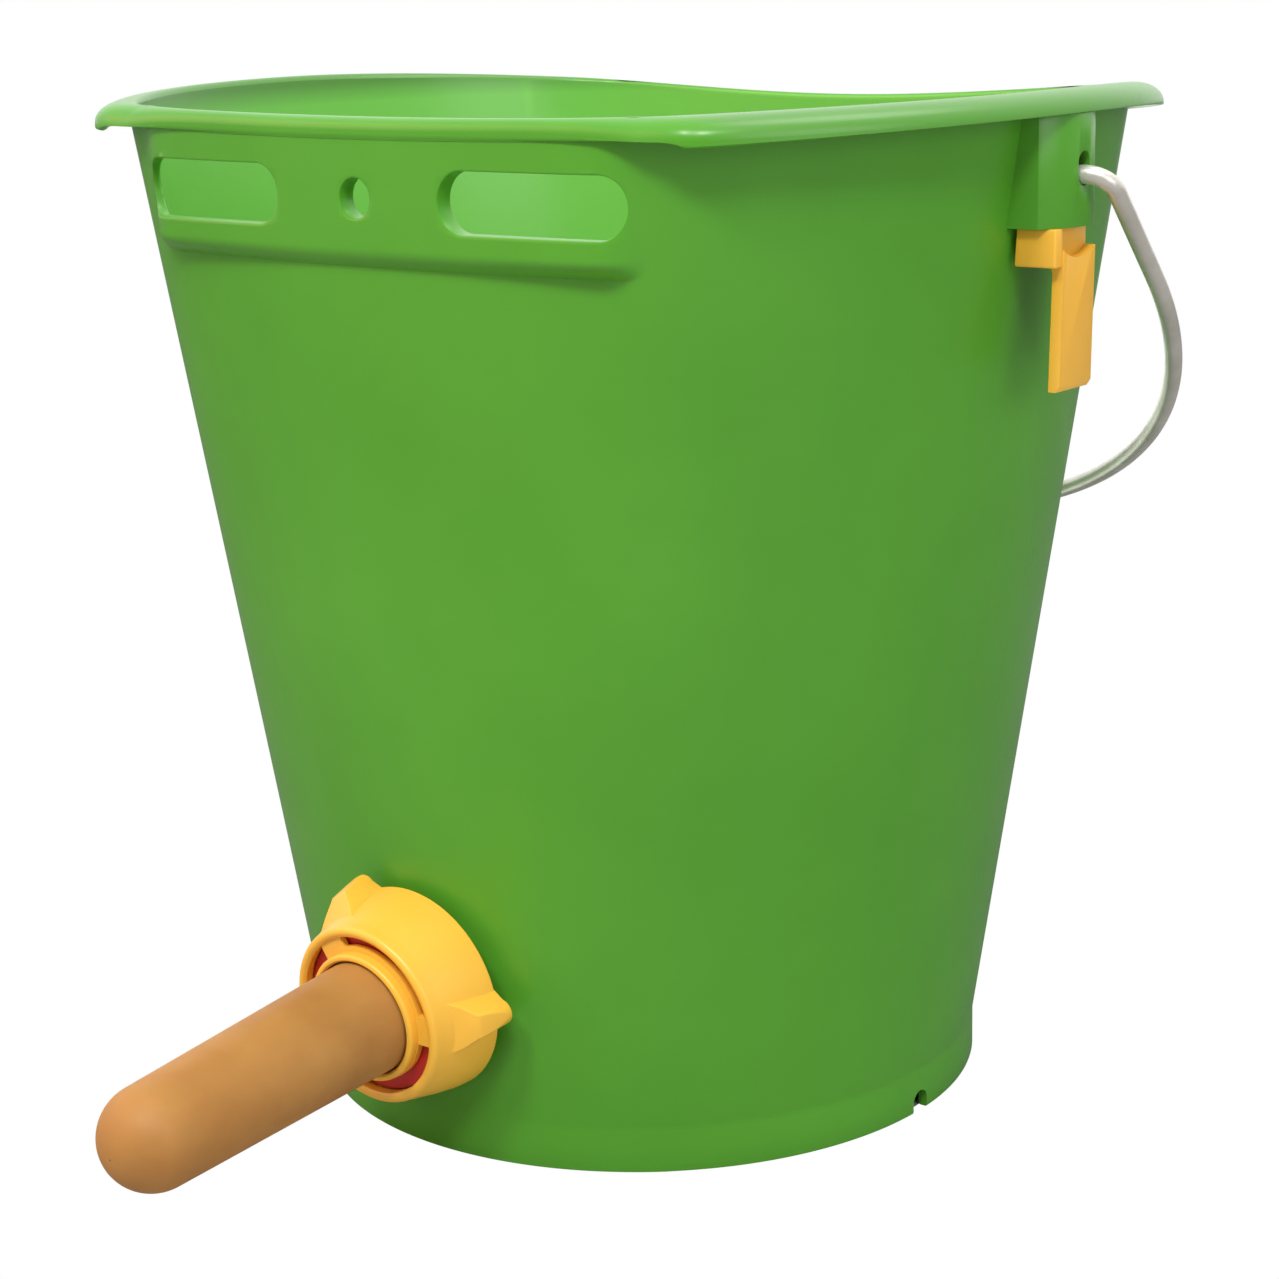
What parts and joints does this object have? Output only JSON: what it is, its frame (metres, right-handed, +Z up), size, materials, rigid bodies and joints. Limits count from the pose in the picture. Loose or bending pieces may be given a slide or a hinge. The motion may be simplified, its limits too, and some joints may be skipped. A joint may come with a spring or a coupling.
{
  "type": "calf feeder bucket",
  "caption": "Moulded feeding bucket with flattened front and back, wire bail, hanging hooks and a rubber teat held by a bayonet nut over a flap valve.",
  "frame": {"origin": "middle of the round foot, on the surface that the bucket stands on", "axes": "+Z up; -Y is the front, out of which the teat points; +X is on the right when the front is seen"},
  "size_m": [0.2924, 0.3215, 0.2668],
  "materials": {
    "green_plastic": "moulded polyethylene, soft gloss",
    "yellow_plastic": "moulded, soft gloss",
    "red_plastic": "moulded, soft gloss",
    "tan_rubber": "natural rubber, matte with a faint sheen",
    "black_rubber": "matte",
    "bail_wire": "galvanised drawn wire"
  },
  "bodies": {
    "bucket": {"bucket_shell": "green_plastic", "hook_clip_right": "yellow_plastic", "hook_clip_left": "yellow_plastic", "valve_insert": "red_plastic", "valve_seal": "black_rubber", "teat": "tan_rubber"},
    "bail": {"bail_handle": "bail_wire"},
    "nut": {"valve_nut": "yellow_plastic"},
    "flap": {"valve_flap": "yellow_plastic"}
  },
  "joints": [
    {"name": "bail_hinge", "type": "hinge", "parent": "bucket", "child": "bail", "pos_m": [0, -0.003, 0.2473], "axis": [1, 0, 0], "range_deg": [0, 264]},
    {"name": "nut_twist", "type": "hinge", "parent": "bucket", "child": "nut", "pos_m": [0, -0.09256, 0.0451], "axis": [0, -0.9962, -0.0872], "range_deg": [0, 60]},
    {"name": "flap_hinge", "type": "hinge", "parent": "bucket", "child": "flap", "pos_m": [0, -0.09735, 0.05402], "axis": [-1, 0, 0], "range_deg": [0, 50]}
  ]
}
